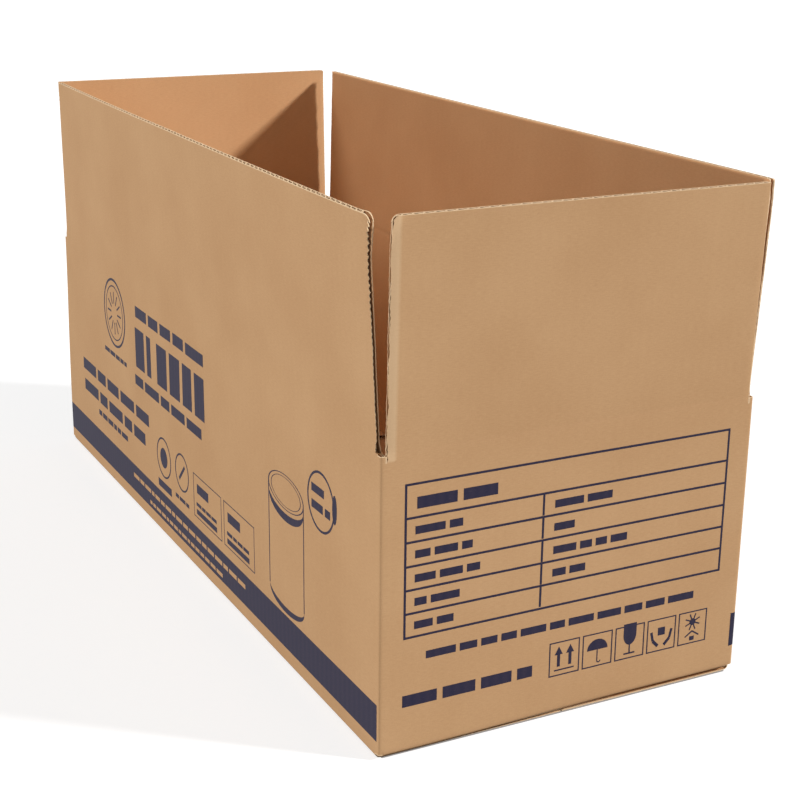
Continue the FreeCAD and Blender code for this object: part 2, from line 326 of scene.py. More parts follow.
LEAST_SAG, MOST_SAG = 0.25, 2.55      # of the near end wall's foot
CRUSH_RUN = 9.0              # over this length the crush of a bottom flap's end fades
PLAY = 0.45                  # left between a sagging wall and the flap under it
LEAST_CRUSH = 0.12           # at the near end, as a share of the board's thickness
FAR_CRUSH = 0.34             # at the far end


def near_sag(y):
    """How far the foot of the near end wall hangs down, most at its front corner."""
    return LEAST_SAG + (MOST_SAG - LEAST_SAG) * ease(60.0, -120.0, y)


def bottom_crush(q, s, leg, y):
    """Share of its thickness that a long bottom flap loses, with y its place across.

    At the near end the flap is pressed into the room that the sagging wall leaves it. The
    share dies out away from the flap's ends as exp(-distance / CRUSH_RUN).
    """
    from_end = np.minimum(q - leg_start[leg] - np.where(leg == FRONT, FRONT_START, 0.0),
                          leg_start[leg + 1] - q)
    near_half = (q > HALF_LENGTH) & (q < leg_start[REAR] + LONG_RUN)
    room = END_FLOOR - near_sag(y) - PLAY
    crush = np.where(near_half, np.maximum(1.0 - room / BOARD, LEAST_CRUSH), FAR_CRUSH)
    crush = crush + np.where(near_half, 0.06, 0.26) * uneven(s, 17.0, 71)
    return np.exp(-np.abs(from_end) / CRUSH_RUN) * crush


def case_place(q, s, w):
    """Point of the folded case from its flat sheet: q round it, s up it, w into the board.

    Above the bottom folds s is the height. Below, the sheet turns a quarter circle of
    BOTTOM_RADIUS and then runs flat inwards; the upright folds run straight down. The
    board is pressed thinner in each fold and crushed at the ends of the bottom flaps. The
    tab keeps its run but is drawn together in height, as it tapers.
    """
    x, y, out_x, out_y = plan(q)
    leg = leg_at(q)
    floor = np.where(leg % 4 == 0, 0.0, END_FLOOR)
    bend_top = np.where(leg % 2 == 0, floor + BOTTOM_RADIUS, -1.0)
    angle = np.clip((bend_top - s) / BOTTOM_RADIUS, 0.0, math.pi / 2.0)
    flat = np.maximum(bend_top - BOTTOM_ARC - s, 0.0)
    inset = BOTTOM_RADIUS * (1.0 - np.cos(angle)) + flat
    height = np.maximum(s, bend_top) - BOTTOM_RADIUS * np.sin(angle)
    in_fold = FOLD_PRESS * np.sin(2.0 * angle)
    sag = near_sag(y) * ease(45.0, 8.0, s) * ease(14.0, 0.0, flat) * (leg == NEAR)
    long_flap = (leg % 4 == 0) & (s < bend_top)
    crushed = bottom_crush(q, s, leg, y + out_y * -inset) * long_flap
    depth = w * (1.0 - in_fold) * (1.0 - crushed)
    on_tab = ease(0.0, 1.0, (q - leg_start[TAB]) / leg_lengths[TAB]) * (leg == TAB)
    middle = sum(TAB_ENDS) / 2.0
    shorter = 2.0 * TAB_TAPER / (TAB_ENDS[1] - TAB_ENDS[0])
    height = height + (middle - height) * shorter * on_tab
    bow = np.where(leg >= TAB - 1, pushed_in(height), panel_bow(q, height))
    outward = np.cos(angle) * -depth - inset - bow * np.cos(angle)
    height = height - sag + depth * np.sin(angle)
    return stack(x + out_x * outward, y + out_y * outward, height)


def case_rows(step):
    """Heights up the sheet: the flaps, the two sets of bottom folds, and the walls."""
    long_bend = BOTTOM_RADIUS - np.linspace(0.0, BOTTOM_ARC, 6)
    short_bend = END_FLOOR + long_bend
    long_end = long_bend[-1] - (BOTTOM_LONG - BOTTOM_RADIUS)
    short_end = short_bend[-1] - (BOTTOM_SHORT - BOTTOM_RADIUS)
    flats = np.linspace(long_end, long_bend[-1], max(4, int(130 / step)))
    walls = np.concatenate([np.linspace(12.0, 45.0, max(4, int(66 / step))),
                            np.linspace(56.0, 200.0, max(5, int(150 / step)))])
    fixed = [short_end, long_end, *FOLD_FEET, *TAB_ENDS, END_CREASE - HINGE_ROOM,
             SLOT_FLOOR - PRESSED_LINE, SLOT_FLOOR, LONG_CREASE - HINGE_ROOM]
    rows = np.unique(np.round(np.concatenate([long_bend, short_bend, flats, walls, fixed]), 4))
    return rows, long_end, short_end


def case_cells(q, s, long_end, short_end):
    """Which cells of the flat sheet hold board: the slots are cut out between the flaps."""
    middle_q = (q[1:] + q[:-1]) / 2.0
    middle_s = (s[1:] + s[:-1]) / 2.0
    leg = np.clip(np.searchsorted(leg_start, middle_q, side="right") - 1, 0, 8)
    long_wall = ((leg == FRONT) & (middle_q > FRONT_START)) | (leg == REAR)
    end_wall = (leg == NEAR) | (leg == FAR)
    tab = leg >= TAB - 1
    low = np.select([long_wall, end_wall, tab], [long_end, short_end, TAB_ENDS[0]],
                    FOLD_FEET[np.clip(leg // 2, 0, 3)])
    high = np.select([long_wall, end_wall, tab],
                     [LONG_CREASE - HINGE_ROOM, END_CREASE - HINGE_ROOM, TAB_ENDS[1]],
                     SLOT_FLOOR)
    return (middle_s > low[:, None]) & (middle_s < high[:, None])


ROW_STEPS = {"outer_liner": 13.0, "fluting": 32.0, "inner_liner": 13.0}
case_edges = [0.0, FRONT_START, *leg_start[1:]]
fold_lines = np.concatenate([np.linspace(leg_start[k], leg_start[k + 1], 7)
                             for k in (1, 3, 5, 7)])
case_pieces = []
for ply_name, ply_faces, ply_step in PLIES:
    q = np.union1d(lines_between(case_edges, ply_step, close=(PRESSED_LINE,)),
                   np.round(fold_lines, 5))
    s, long_end, short_end = case_rows(ROW_STEPS[ply_name])
    keep = case_cells(q, s, long_end, short_end)
    shallow, deep = ply_faces(q[:, None])
    front = case_place(q[:, None], s[None, :], shallow)
    back = case_place(q[:, None], s[None, :], deep)
    flat_front = stack(q[:, None], s[None, :], shallow)
    flat_back = stack(q[:, None], s[None, :], deep)
    points, faces, cut_and_highlight, used = skin(front, back, keep)
    blank = np.concatenate([flat_front.reshape(-1, 3), flat_back.reshape(-1, 3)])[used]
    end_top = np.abs(blank[:, 1] - END_CREASE + HINGE_ROOM) < 0.01
    long_top = np.abs(blank[:, 1] - LONG_CREASE + HINGE_ROOM) < 0.01
    cut_and_highlight[(end_top | long_top) & (leg_at(blank[:, 0]) % 2 == 0)] = 0.0
    piece = make_piece(f"case_{ply_name}", points, faces, blank, cut_and_highlight)
    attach(piece, "case")
    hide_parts("case_body")
    case_pieces.append(piece)


# The top flaps. Each carries on from its wall over a pressed crease, which the sheet of
# the flap starts just below, and stands open. A saw-toothed knife cut the slots beside it.
LONG_REACH = 143.5
END_REACH = LONG_REACH + LONG_CREASE - END_CREASE
NEAR_CUT_BACK = 2.5          # of the front flap, at its near end
FAR_CUT_BACK = 7.0           # of the rear flap, at its far end
CREASE_HALF = 2.6            # half the height over which a crease bends
CREASE_PRESS = 0.1           # share of its thickness that the board loses at the crease
CREASE_STEPS = np.array([0.8, 1.5, 2.2, 3.2, 4.5, HINGE_ROOM])
TOOTH_PITCH = 4.3            # marks of the knife along the slots
TOOTH_DEPTH = 0.45
ROW_STEP = TOOTH_PITCH / 4.0

FLAPS = {
    # node: wall, crease height, reach, ends along the sheet, lean at the first and last end
    "front_long_flap": (FRONT, LONG_CREASE, LONG_REACH,
                        (FRONT_START, FRONT_START + 2 * LONG_RUN - NEAR_CUT_BACK), (-0.5, 3.0)),
    "near_end_flap": (NEAR, END_CREASE, END_REACH, (0.0, 2 * END_RUN), (1.5, 2.0)),
    "rear_long_flap": (REAR, LONG_CREASE, LONG_REACH, (0.0, 2 * LONG_RUN - FAR_CUT_BACK),
                       (3.0, 1.4)),
    "far_end_flap": (FAR, END_CREASE, END_REACH, (0.0, 2 * END_RUN), (2.0, 2.0)),
}
# Worn top corners: which end of the flap, how far the bent part reaches along the edge and
# down it, how many degrees it is bent inwards, how far its papers spread, and its rounding.
WORN_CORNERS = {
    "front_long_flap": ("last", 15.0, 26.0, 9.0, 0.5, 7.0),
    "near_end_flap": ("first", 8.0, 22.0, -12.0, 0.45, 5.0),
    "rear_long_flap": ("first", 9.0, 14.0, 8.0, 0.2, 1.5),
    "far_end_flap": ("first", 4.0, 12.0, 6.0, 0.1, 2.0),
}
BENT_OVER = 1.5              # the bend of a worn corner is this soft
SPREAD_OVER = 8.0            # and its papers spread over this length
# How much the knife pinched the board at the first and last end of each flap, over how
# many millimetres, and how raggedly it cut there.
PINCH = {"front_long_flap": (0.3, 0.5), "near_end_flap": (0.5, 0.12),
         "rear_long_flap": (0.12, 0.2), "far_end_flap": (0.2, 0.2)}
PINCH_RUN = {"front_long_flap": (2.4, 9.0), "near_end_flap": (4.8, 2.4),
             "rear_long_flap": (2.4, 2.4), "far_end_flap": (2.4, 2.4)}
RAGGED = {"front_long_flap": (1.0, 1.0), "near_end_flap": (1.0, 0.35),
          "rear_long_flap": (0.35, 1.3), "far_end_flap": (0.4, 1.0)}


def wear(node, q, s, w, first, last, top):
    """Moves points of a flap's flat sheet where its edges are pinched and a corner is bent.

    A pinch draws the papers to the middle and dies out at the crease. A corner turns about
    a slanting line: beyond it a point moves into the sheet's depth by the sine of the turn
    and back towards the line by one minus its cosine. Its tip is cut to a quarter circle.
    """
    crease = FLAPS[node][1]
    for end, amount, run in zip((first, last), PINCH[node], PINCH_RUN[node]):
        near = np.clip(1.0 - np.abs(q - end) / run, 0.0, 1.0) * ease(crease - 5, crease + 3, s)
        w = BOARD / 2 + (w - BOARD / 2) * (1.0 - amount * near)
    end, width, height, turn, spread, rounding = WORN_CORNERS[node]
    inwards = 1.0 if end == "first" else -1.0
    aside = (q - (first if end == "first" else last)) * inwards
    below = top - s
    slope = math.hypot(1.0 / width, 1.0 / height)
    beyond = np.maximum((1.0 - aside / width - below / height) / slope, 0.0)
    turn = math.radians(turn) * ease(0.0, BENT_OVER, beyond)
    back = beyond * (1.0 - np.cos(turn)) / slope
    q = q + inwards * back / width
    s = s - back / height
    short = np.clip(rounding - aside, 0.0, rounding)
    drop = rounding - np.sqrt(rounding ** 2 - short ** 2)
    s = s - drop * ease(2.2 * rounding, 0.0, below)
    w = w + (w - BOARD / 2) * spread * ease(0.0, SPREAD_OVER, beyond)
    return q, s, w + beyond * np.sin(turn)


def flap_place(node, q, s, w):
    """Point of a top flap from the flat sheet.

    Up to the crease it follows its wall. Above, it turns by its lean over a short arc
    and goes on straight; the lean changes along the flap as a quarter sine wave. The
    wall's bow fades up the flap, and the crease is pressed thinner (a bell curve).
    """
    leg, crease, reach, (first, last), (lean_first, lean_last) = FLAPS[node]
    start = leg_start[leg]
    q, s, w = wear(node, q, s, w, start + first, start + last, crease + reach)
    x, y, out_x, out_y = plan(q, np.full(q.shape, leg))
    along = np.clip((q - start - first) / (last - first), 0.0, 1.0)
    lean = np.radians(lean_first + (lean_last - lean_first) * np.sin(along * math.pi / 2.0))
    over = s - crease
    inner_part = np.clip(over + CREASE_HALF, 0.0, 2 * CREASE_HALF)
    bent = inner_part ** 2 / (4 * CREASE_HALF) + np.maximum(over - CREASE_HALF, 0.0)
    angle = lean * inner_part / (2 * CREASE_HALF)
    height = s - bent + bent * np.cos(lean)
    press = 1.0 - CREASE_PRESS * np.exp(-(over / 2.4) ** 2)
    bow = panel_bow(q, np.minimum(s, crease) + 0.0 * q) * (1.0 - 0.6 * ease(0, reach, over))
    bow = bow + 0.03 * np.exp(-(over / 1.6) ** 2)
    depth = w * press + bow
    outward = bent * np.sin(lean) - depth * np.cos(angle)
    return stack(x + out_x * outward, y + out_y * outward, height + depth * np.sin(angle))


TEAR_REACH = 2.4             # a torn or toothed edge is felt this far into the sheet
FINE_TEAR, FINE_PITCH = 0.4, 2.3
COARSE_TEAR, COARSE_PITCH = 0.9, 9.0
TEAR_DEPTH, TEAR_BIAS = 0.45, 0.6


def ragged(q, s, ends, ply_seed, amounts, tooth_depths):
    """Distance along the sheet after the slots were cut, in millimetres.

    Points beside an end move by the teeth of the knife (a rectified sine) and by uneven
    tearing, both fading with the distance d from the end as exp(-d / TEAR_REACH).
    """
    teeth = np.abs(np.sin(math.pi * s / TOOTH_PITCH))
    for end, inwards, seed, amount, deep in zip(ends, (1.0, -1.0), (11, 23), amounts,
                                                tooth_depths):
        near = np.exp(-np.abs(q - end) / TEAR_REACH)
        torn = (FINE_TEAR * uneven(s, FINE_PITCH, seed + ply_seed)
                + COARSE_TEAR * uneven(s, COARSE_PITCH, seed + ply_seed + 1))
        q = q + inwards * near * amount * (deep * teeth + TEAR_DEPTH * (torn + TEAR_BIAS))
    return q


PLY_TEAR = {"outer_liner": 1.0, "fluting": 1.7, "inner_liner": 0.6}
# How much the papers are swollen at a cut, on their shallow and deep faces.
SWOLLEN = {"outer_liner": (0.0, 0.3), "fluting": (0.34, 0.34), "inner_liner": (0.3, 0.0)}
FUZZ_REACH = 0.6
FLUTE_ROW_STEP = 9.0
CRUSHED_BACK = 9.0           # the fluting ends so far inside the front flap's toothed end
LOW_TEETH, HIGH_TEETH = 0.8, 2.0     # depth of that end's teeth, at its foot and its top
HIGHLIGHT_STRIP_WIDTH = 4.9           # of the painted highlight strip at the near flap's first end
HIGHLIGHT_STRIP_PALENESS = 0.4            # how pale the painted highlight is, where 1 is as pale as a cut
BLEND_HALF = 5.0             # places this far under and over the crease are worked out for each flap, but not used


def flap_rows(crease, reach, step):
    """Heights up a flap: close together over its crease and beside its top edge."""
    hinge_rows = crease + np.concatenate([-CREASE_STEPS[::-1], [0.0], CREASE_STEPS])
    upper = np.linspace(crease + HINGE_ROOM + 1.0, crease + reach, int(reach / step))
    return np.concatenate([hinge_rows, upper[:-1], upper[-1] - [0.8, PRESSED_LINE, 0.0]])


def flap_skin(node, ply_index):
    """Points, faces, flat places, and marks of the cuts and of a painted highlight strip, of
    one paper of a top flap.

    The grid is even on the flat sheet. It is swollen and cut ragged there, the ragged part
    easing in above the foot of the sheet, and then folded to its place.
    """
    leg, crease, reach, (first, last), _ = FLAPS[node]
    ply_name, ply_faces, ply_step = PLIES[ply_index]
    fine = ply_name == "fluting"
    toothed = node == "front_long_flap"
    ends = (leg_start[leg] + first,
            leg_start[leg] + last - (CRUSHED_BACK if toothed and fine else 0.0))
    q = lines_between(ends, ply_step, close=(PRESSED_LINE, 1.1, 2.4, 4.8))
    s = flap_rows(crease, reach, FLUTE_ROW_STEP if fine else ROW_STEP)
    flat_q, flat_s = q[:, None] + 0.0 * s, s + 0.0 * q[:, None]
    foot = crease - HINGE_ROOM
    above = ease(foot, foot + 3.0, flat_s)
    from_cut = np.minimum(np.minimum(flat_q - ends[0], ends[1] - flat_q), s[-1] - flat_s)
    fuzz = np.exp(-from_cut / FUZZ_REACH) * above
    shallow, deep = ply_faces(flat_q)
    shallow = shallow - SWOLLEN[ply_name][0] * fuzz
    deep = deep + SWOLLEN[ply_name][1] * fuzz
    tear = [PLY_TEAR[ply_name] * amount for amount in RAGGED[node]]
    big_teeth = LOW_TEETH + (HIGH_TEETH - LOW_TEETH) * ease(0.45, 0.75,
                                                            (flat_s - crease) / reach)
    teeth = (TOOTH_DEPTH, big_teeth if toothed and ply_index == 0 else TOOTH_DEPTH)
    cut_q = ragged(flat_q, flat_s, ends, 7 * ply_index + 31 * leg, tear, teeth)
    moved_q = flat_q + (cut_q - flat_q) * above
    front = flap_place(node, moved_q, flat_s, shallow)
    back = flap_place(node, moved_q, flat_s, deep)
    keep = np.ones((len(q) - 1, len(s) - 1), bool)
    points, faces, cut_and_highlight, used = skin(front, back, keep)
    blank = np.concatenate([stack(flat_q, flat_s, shallow).reshape(-1, 3),
                            stack(flat_q, flat_s, deep).reshape(-1, 3)])[used]
    # painted highlight: a pale strip along the near flap's first end, where its pinched edge
    # catches light
    if node == "near_end_flap" and ply_index == 0:
        cut_and_highlight[blank[:, 0] < ends[0] + HIGHLIGHT_STRIP_WIDTH] = HIGHLIGHT_STRIP_PALENESS
    cut_and_highlight[blank[:, 1] < foot + 0.1] = 0.0
    return points, faces, blank, cut_and_highlight, sum(ends) / 2.0


flap_pieces = []
for node, (leg, crease, *_) in FLAPS.items():
    for ply_index, (ply_name, _, _) in enumerate(PLIES):
        points, faces, blank, cut_and_highlight, middle = flap_skin(node, ply_index)
        piece = make_piece(f"{node}_{ply_name}", points, faces, blank, cut_and_highlight)
        x, y, _, _ = plan(np.array(middle), np.array(leg))
        under = Vector((float(x), float(y), crease - BLEND_HALF)) * MM
        over = Vector((float(x), float(y), crease + BLEND_HALF)) * MM
        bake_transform(piece)
        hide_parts(node)
        flap_pieces.append(piece)


# The finish of the board: brown kraft paper with its fibres along the sheet, the flutes
# just showing through as a washboard, paler and fuzzy where the board was cut, and paler in
# a painted highlight strip beside the near flap's first end.
def linear(red, green, blue):
    """A colour given as screen values from 0 to 255, in the linear values of a shader."""
    parts = np.array([red, green, blue]) / 255.0
    bent = np.where(parts <= 0.04045, parts / 12.92, ((parts + 0.055) / 1.055) ** 2.4)
    return (*bent.tolist(), 1.0)


class Socket:
    """An output of a shader node. Sums and products of sockets add Math nodes."""

    def __init__(self, material, output):
        self.material = material
        self.output = output

    def node(self, kind, settings=None, output=0, **inputs):
        """Any node: its type, its settings, and values or links for its sockets."""
        made = self.material.node_tree.nodes.new(kind)
        for key, value in (settings or {}).items():
            setattr(made, key, value)
        for key, value in inputs.items():
            place = int(key[1:]) if key[0] == "_" and key[1:].isdigit() else key
            place = place.replace("__", " ") if isinstance(place, str) else place
            if isinstance(value, Socket):
                self.material.node_tree.links.new(value.output, made.inputs[place])
            else:
                made.inputs[place].default_value = value
        return Socket(self.material, made.outputs[output])

    def math(self, operation, first, second=0.0):
        """A Math node on one or two values."""
        return self.node("ShaderNodeMath", {"operation": operation}, _0=first, _1=second)

    def __add__(self, other):
        return self.math("ADD", self, other)

    def __sub__(self, other):
        return self.math("SUBTRACT", self, other)

    def __rsub__(self, other):
        return self.math("SUBTRACT", other, self)

    def __mul__(self, other):
        return self.math("MULTIPLY", self, other)

    __radd__ = __add__
    __rmul__ = __mul__

    def clamp(self):
        """This value, held between 0 and 1."""
        return self.node("ShaderNodeClamp", None, Value=self)

    def between(self, low, high):
        """0 below low and 1 above high, with a smooth step between."""
        return self.node("ShaderNodeMapRange", {"interpolation_type": "SMOOTHSTEP"},
                         Value=self, From__Min=low, From__Max=high)

    def blend(self, colour_a, colour_b):
        """colour_a where this is 0 and colour_b where it is 1."""
        return self.node("ShaderNodeMix", {"data_type": "RGBA"}, 2,
                         _0=self, _6=colour_a, _7=colour_b)

    def stretched(self, *scale):
        """This vector, with each of its parts scaled."""
        return self.node("ShaderNodeVectorMath", {"operation": "MULTIPLY"},
                         _0=self, _1=scale)

    def noise(self, scale, detail, roughness):
        """Soft noise from 0 to 1 at this place."""
        return self.node("ShaderNodeTexNoise", None, Vector=self, Scale=scale,
                         Detail=detail, Roughness=roughness)


def new_material(name, roughness):
    """A material, its shader node, and a first socket to build from."""
    material = bpy.data.materials.new(name)
    material.use_nodes = True
    shader = material.node_tree.nodes["Principled BSDF"]
    shader.inputs["Roughness"].default_value = roughness
    shader.inputs["Specular IOR Level"].default_value = 0.25
    return material, shader, Socket(material, None)


EVENNESS = 0.62              # share of the plain colour in the paper's own
KRAFT = linear(191, 150, 108)
KRAFT_PALE = linear(204, 166, 125)
KRAFT_DARK = linear(166, 124, 84)
INNER_KRAFT = linear(206, 159, 114)
# the colour of cut paper, also used for the painted highlight strip
CUT_AND_HIGHLIGHT_PAPER = linear(234, 206, 168)
FLUTE_PAPER = linear(176, 126, 82)


def kraft_material(name, base, dark, pale):
    """Kraft paper: noise drawn out along the sheet for fibres, flecks, and a washboard.

    It is paler at cuts and in a painted highlight strip.
    """
    material, shader, start = new_material(name, 0.82)
    sheet = start.node("ShaderNodeAttribute", {"attribute_name": "blank"}, "Vector")
    # the mark of the cut edges and of the painted highlight strip
    cut = start.node("ShaderNodeAttribute", {"attribute_name": "cut_and_highlight_mark"}, "Fac")
    parts = start.node("ShaderNodeSeparateXYZ", None, "X", Vector=sheet)
    fibres = sheet.stretched(0.22, 1.5, 1.0).noise(1.0, 4.0, 0.65)
    weave = sheet.stretched(1.1, 0.5, 1.0).noise(1.0, 3.0, 0.6)
    clouds = sheet.stretched(0.012, 0.012, 0.05).noise(1.0, 3.0, 0.55)
    flecks = sheet.stretched(0.9, 2.6, 1.0).noise(1.0, 1.0, 0.5).between(0.70, 0.78)
    wash = start.math("SINE", parts * (2.0 * math.pi / FLUTE_PITCH)) * 0.5 + 0.5
    tone = (fibres * 0.42 + weave * 0.22 + clouds * 0.36).between(0.30, 0.70)
    tone = (tone * 0.96 + wash * 0.04).clamp()
    colour = tone.blend(dark, pale)
    colour = start.node("ShaderNodeMix", {"data_type": "RGBA"}, 2, _0=EVENNESS, _6=colour,
                        _7=base)
    colour = (flecks * 0.35).blend(colour, dark)
    # paler at cut edges, and in the painted highlight strip beside the near flap's first end
    colour = (cut * 0.8).blend(colour, CUT_AND_HIGHLIGHT_PAPER)
    height = fibres * 0.05 + weave * 0.03 + wash * 0.01
    bump = start.node("ShaderNodeBump", None, Height=height, Strength=0.35, Distance=MM)
    links = material.node_tree.links
    links.new(colour.output, shader.inputs["Base Color"])
    links.new(bump.output, shader.inputs["Normal"])
    return material


kraft_outer = kraft_material("kraft_outer_liner", KRAFT, KRAFT_DARK, KRAFT_PALE)
kraft_inner = kraft_material("kraft_inner_liner", INNER_KRAFT, linear(180, 130, 86),
                             linear(216, 173, 130))
kraft_flute = kraft_material("kraft_fluting", FLUTE_PAPER, linear(150, 105, 66), KRAFT)
for piece in case_pieces + flap_pieces:
    finish = (kraft_flute if piece.name.endswith("fluting") else
              kraft_outer if piece.name.endswith("outer_liner") else kraft_inner)
    piece.data.materials.append(finish)


# The print: navy ink pressed onto the outer liner. A band runs round the foot of each long
# wall; the end wall has a ruled table and framed handling signs. Words are plain bars.
INK_STANDS = 0.09            # how far the ink stands on the paper
INK_SUNK = 0.06              # and how far it goes into it
INK_STEP = 8.0               # grid step of the print, so that it follows the wall's bow


def word_ends(left, right, height, seed):
    """The left and right end of each plain bar that stands for a word in a row."""
    draw = np.random.default_rng(seed)
    ends = []
    at = left
    while at < right - 1.2 * height:
        length = min(height * draw.uniform(1.6, 4.2), right - at)
        ends.append((at, at + length))
        at += length + 0.55 * height
    return ends


class Print:
    """Marks printed on one wall, collected as thin closed skins that follow its sheet."""

    def __init__(self, name, to_q):
        self.name = name
        self.to_q = to_q
        self.points, self.faces, self.blank, self.count = [], [], [], 0

    def strip(self, upper, lower, closed=False):
        """Ink between two curves of the wall, in rows from one curve to the other."""
        lower, upper = np.asarray(lower, float), np.asarray(upper, float)
        rows = int(np.abs(upper - lower).max() / INK_STEP) + 2
        part = np.linspace(0.0, 1.0, rows)[:, None]
        curves = lower[:, None] + (upper - lower)[:, None] * part
        q, s = self.to_q(curves[..., 0]), curves[..., 1]
        if np.mean(np.diff(q[:, 0])) < 0 and not closed:
            q, s = q[::-1], s[::-1]
        front = case_place(q, s, np.full(q.shape, -INK_STANDS))
        back = case_place(q, s, np.full(q.shape, INK_SUNK))
        keep = np.ones((len(q) - 1, rows - 1), bool)
        points, faces, _, used = skin(front, back, keep, closed)
        flat = np.concatenate([stack(q, s, -INK_STANDS).reshape(-1, 3),
                               stack(q, s, INK_SUNK).reshape(-1, 3)])[used]
        self.points.append(points)
        self.blank.append(flat)
        self.faces.append(faces + self.count)
        self.count += len(points)

    def bar(self, left, right, low, high):
        """An upright rectangle, with a line of its own at every fold that it crosses."""
        along = np.linspace(left, right, max(2, int(abs(right - left) / INK_STEP) + 2))
        folds = (fold_lines - self.to_q(0.0)) / (self.to_q(1.0) - self.to_q(0.0))
        along = np.union1d(along, folds[(folds > left) & (folds < right)])
        self.strip(stack(along, high + 0 * along), stack(along, low + 0 * along))

    def line(self, start, end, width):
        """A straight stroke from start to end, of even width, cut square."""
        start, end = np.array(start, float), np.array(end, float)
        steps = max(2, int(np.linalg.norm(end - start) / INK_STEP) + 2)
        t = np.linspace(0.0, 1.0, steps)[:, None]
        way = (end - start) / np.linalg.norm(end - start)
        if way[0] < 0 or (abs(way[0]) < 1e-9 and way[1] < 0):
            start, end, way = end, start, -way
        side = np.array([-way[1], way[0]]) * width / 2.0
        middle = start + (end - start) * t
        self.strip(middle + side, middle - side)

    def spoke(self, across, up, near, far, degrees, width):
        """A stroke from one distance to another from a middle, at an angle."""
        way = np.array([math.cos(math.radians(degrees)), math.sin(math.radians(degrees))])
        middle = np.array([across, up])
        self.line(middle + near * way, middle + far * way, width)

    def box(self, left, right, low, high, width):
        """A frame of four bars, centred on the given lines."""
        half = width / 2.0
        self.bar(left - half, right + half, high - half, high + half)
        self.bar(left - half, right + half, low - half, low + half)
        for at in (left, right):
            self.bar(at - half, at + half, low + half, high - half)

    def ring(self, across, up, radius, width, squash=1.0, part=(0.0, 360.0)):
        """A ring, or an arc of one: an ellipse with its height scaled by squash."""
        turn = part[1] - part[0]
        steps = max(5, int(turn / 360.0 * (24 + radius)) + 1)
        angle = np.radians(np.linspace(part[1], part[0], steps))
        reach = np.array([radius + width / 2.0, radius - width / 2.0])
        rims = [stack(across + r * np.cos(angle), up + squash * r * np.sin(angle))
                for r in reach]
        self.strip(*rims, closed=turn >= 360.0)

    def disc(self, across, up, radius, squash=1.0, part=(6.0, 174.0), cut=-1.0):
        """A filled ellipse, or part of one; cut lifts its foot, as a share of its height."""
        angle = np.radians(np.linspace(part[1], part[0], 24))
        over = stack(across + radius * np.cos(angle), up + squash * radius * np.sin(angle))
        foot = up + squash * radius * np.maximum(-np.sin(angle), cut)
        self.strip(over, stack(over[:, 0], foot))

    def crescent(self, across, up, radius, squash, thick):
        """Ink below the lower half of an ellipse, thickest in the middle."""
        angle = np.radians(np.linspace(184.0, 356.0, 24))
        rim = stack(across + radius * np.cos(angle), up + squash * radius * np.sin(angle))
        self.strip(rim, rim - stack(0.0, thick * np.sqrt(-np.sin(angle))))

    def words(self, left, right, low, high, seed):
        """A row of words as plain bars of uneven length, with narrow gaps between."""
        for start, end in word_ends(left, right, high - low, seed):
            self.bar(start, end, low, high)

    def bare_words(self, field_left, field_right, left, right, low, high, seed):
        """A row of a printed field in which such words are left bare."""
        ends = [end for pair in word_ends(left, right, high - low, seed) for end in pair]
        edges = [field_left, *ends, field_right]
        for start, end in zip(edges[::2], edges[1::2]):
            self.bar(start, end, low, high)

    def piece(self):
        """One mesh object of all the marks, on the case."""
        made = make_piece(self.name, np.concatenate(self.points), np.concatenate(self.faces),
                          np.concatenate(self.blank))
        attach(made, "case")
        return made


BAND_LOW, BAND_HIGH = 13.0, 39.5
REAR_BAND_LOW, REAR_BAND_HIGH = 22.0, 47.8
front_print = Print("front_side_print", lambda x: x + HALF_LENGTH)
rear_print = Print("rear_side_print", lambda x: leg_start[REAR] + LONG_RUN - x)
end_print = Print("near_end_print", lambda y: leg_start[NEAR] + END_RUN + y)

# front long wall: the band with two rows of words left bare, then marks and rows of words
band_ends = (-HALF_LENGTH + 0.3, LONG_RUN + 0.3)
front_print.bar(*band_ends, BAND_LOW, 16.4)
front_print.bare_words(*band_ends, -107.0, 77.0, 16.4, 19.8, 3)
front_print.bar(*band_ends, 19.8, 26.8)
front_print.bare_words(*band_ends, -152.0, 124.0, 26.8, 30.8, 4)
front_print.bar(*band_ends, 30.8, BAND_HIGH)
# a ring with spokes over a row of words
WHEEL_ACROSS, WHEEL_UP = -190.0, 172.0
front_print.ring(WHEEL_ACROSS, WHEEL_UP, 31.0, 2.2)
front_print.ring(WHEEL_ACROSS, WHEEL_UP, 25.0, 1.1)
for k in range(12):
    front_print.spoke(WHEEL_ACROSS, WHEEL_UP, 9.0, 20.0, 30.0 * k, 1.6)
front_print.words(-225.0, -152.0, 129.0, 133.0, 5)
# a row of upright bars between two rows of words
front_print.words(-127.0, 46.0, 184.0, 194.0, 6)
for left, right in ((-130, -106), (-99, -88), (-72, -47), (-40, -15), (-8, 14), (21, 43)):
    front_print.bar(left, right, 138.0, 174.0)
front_print.words(-134.0, 42.0, 121.0, 130.0, 8)
# three rows of words, then two round marks and two framed ones with words of their own
front_print.words(-303.0, -100.0, 90.0, 101.0, 9)
front_print.words(-300.0, -112.0, 69.0, 80.0, 10)
front_print.words(-255.0, -165.0, 56.0, 61.0, 11)
front_print.ring(-62.0, 74.0, 17.5, 1.6)
front_print.disc(-62.0, 74.0, 9.0)
front_print.bar(-79.0, -45.0, 44.0, 51.0)
front_print.ring(-16.0, 76.0, 16.0, 1.6)
front_print.line((-23.0, 69.0), (-9.0, 83.0), 3.0)
front_print.words(-34.0, 2.0, 49.0, 52.5, 12)
for left in (12.5, 81.0):
    front_print.box(left, left + 62.5, 49.0, 86.0, 0.8)
    front_print.words(left + 8.0, left + 34.0, 71.0, 79.0, 13)
    front_print.words(left + 6.0, left + 56.0, 59.5, 62.5, 14)
    front_print.bar(left + 6.0, left + 52.0, 52.0, 56.5)
